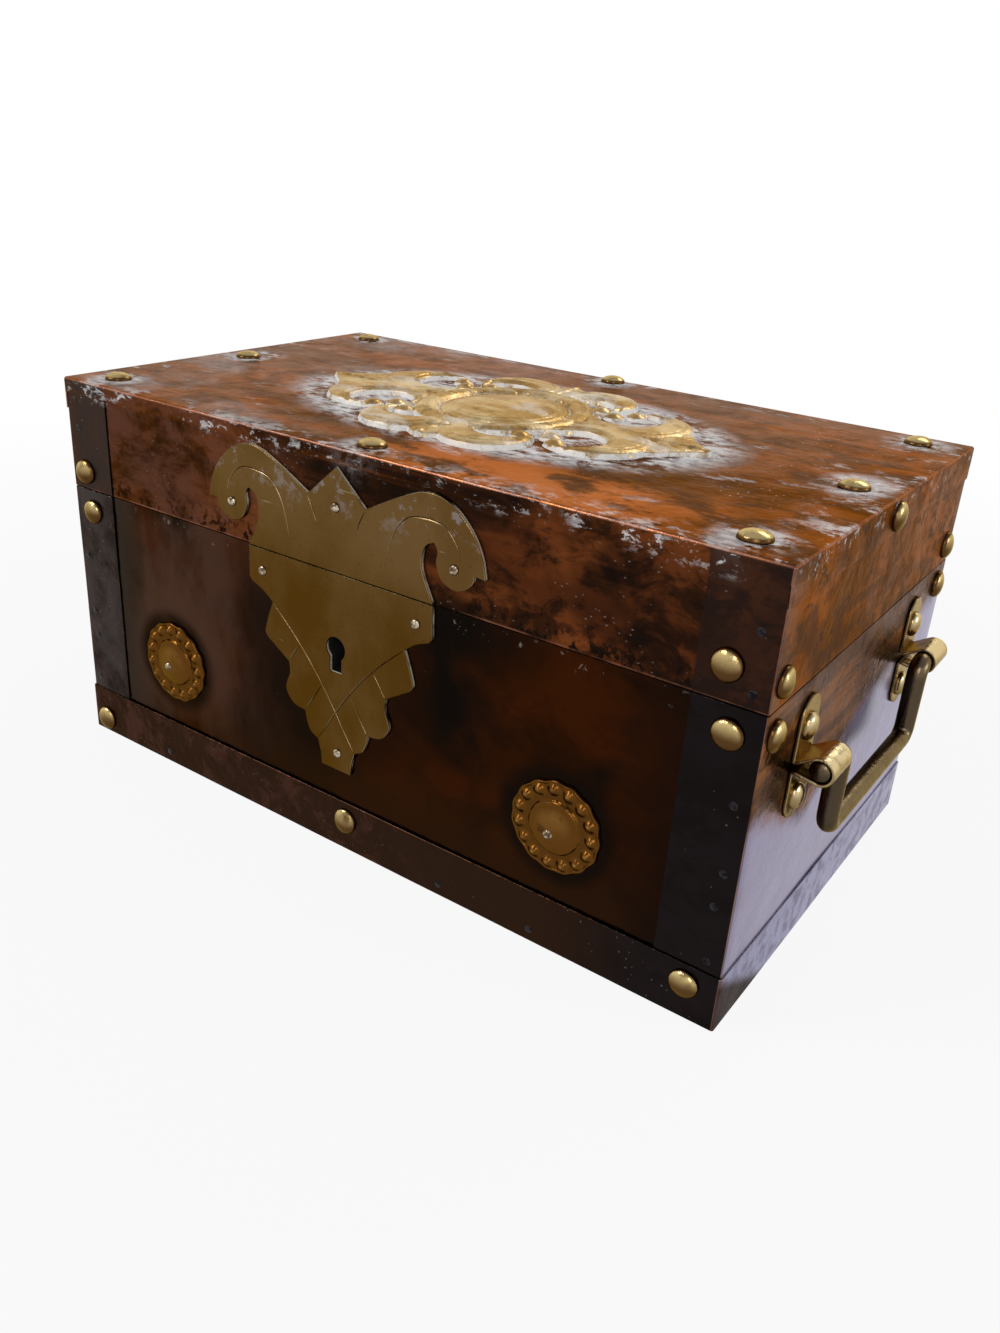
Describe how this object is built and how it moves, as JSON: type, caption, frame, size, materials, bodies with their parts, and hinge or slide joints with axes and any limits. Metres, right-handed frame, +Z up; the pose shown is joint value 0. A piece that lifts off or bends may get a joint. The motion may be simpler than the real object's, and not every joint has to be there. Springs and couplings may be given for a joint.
{
  "type": "copper clad box",
  "caption": "Rectangular wooden keepsake box clad in copper sheet, with a hinged lid, a box lock behind a scrolled brass plate, domed studs and a bail handle on each end.",
  "frame": {"origin": "middle of the flat underside, on the surface that the box stands on", "axes": "+X along the length to the box's right end, -Y out of the front with the lock plates, +Z up through the lid"},
  "size_m": [0.3868, 0.2148, 0.1868],
  "materials": {
    "pine": "planed softwood, darkened with age",
    "body_copper": "dark patinated copper sheet, waxed",
    "end_copper": "dark patinated copper sheet, waxed",
    "lid_copper": "reddish brown copper sheet, rubbed and streaked",
    "brass": "pressed and domed yellow brass, polished by handling",
    "aged_brass": "engraved and embossed brass, olive brown in the hollows",
    "bronze": "dark cast brass, bright where it is held",
    "iron": "filed wrought iron"
  },
  "bodies": {
    "box": {"lock_plate": "aged_brass", "rosette_left": "brass", "rosette_right": "brass", "front_stud_upper_left": "brass", "front_stud_upper_right": "brass", "front_stud_lower_left": "brass", "front_stud_lower_mid": "brass", "front_stud_lower_right": "brass", "left_end_stud_front": "brass", "left_end_stud_back": "brass", "right_end_stud_front": "brass", "right_end_stud_back": "brass", "left_strap_front": "brass", "left_strap_back": "brass", "right_strap_front": "brass", "right_strap_back": "brass", "bottom_board": "pine", "front_board": "pine", "back_board": "pine", "left_board": "pine", "right_board": "pine", "front_sheet": "body_copper", "back_sheet": "body_copper", "left_end_sheet": "end_copper", "right_end_sheet": "end_copper", "base_band": "end_copper", "lock_case": "iron", "hinge_leaf_body": "brass", "hinge_pin": "brass"},
    "lid": {"lid_lock_plate": "aged_brass", "cartouche": "aged_brass", "lid_front_stud_left": "brass", "lid_front_stud_right": "brass", "lid_left_end_stud_front": "brass", "lid_left_end_stud_mid": "brass", "lid_left_end_stud_back": "brass", "lid_right_end_stud_front": "brass", "lid_right_end_stud_mid": "brass", "lid_right_end_stud_back": "brass", "lid_top_stud_front_left": "brass", "lid_top_stud_front_mid": "brass", "lid_top_stud_front_right": "brass", "lid_top_stud_side_left": "brass", "lid_top_stud_side_right": "brass", "lid_top_stud_back_left": "brass", "lid_top_stud_back_mid": "brass", "lid_top_stud_back_right": "brass", "lid_frame": "pine", "lid_top_board": "pine", "lid_front_sheet": "lid_copper", "lid_back_sheet": "lid_copper", "lid_left_end_sheet": "end_copper", "lid_right_end_sheet": "end_copper", "lid_cap_sheet": "lid_copper", "link_plate": "iron", "hinge_leaf_lid": "brass"},
    "bolt": {"lock_bolt": "iron"},
    "right_bail": {"right_bail": "bronze"},
    "left_bail": {"left_bail": "bronze"}
  },
  "joints": [
    {"name": "lid_hinge", "type": "hinge", "parent": "box", "child": "lid", "pos_m": [0, 0.1059, 0.13085], "axis": [-1, 0, 0], "range_deg": [0, 110]},
    {"name": "right_bail_swing", "type": "hinge", "parent": "box", "child": "right_bail", "pos_m": [0.18782, 0, 0.0995], "axis": [0, -1, 0], "range_deg": [-8, 170]},
    {"name": "left_bail_swing", "type": "hinge", "parent": "box", "child": "left_bail", "pos_m": [-0.18782, 0, 0.0995], "axis": [0, 1, 0], "range_deg": [-8, 170]},
    {"name": "bolt_slide", "type": "slide", "parent": "box", "child": "bolt", "axis": [1, 0, 0], "range_m": [0, 0.007]}
  ]
}
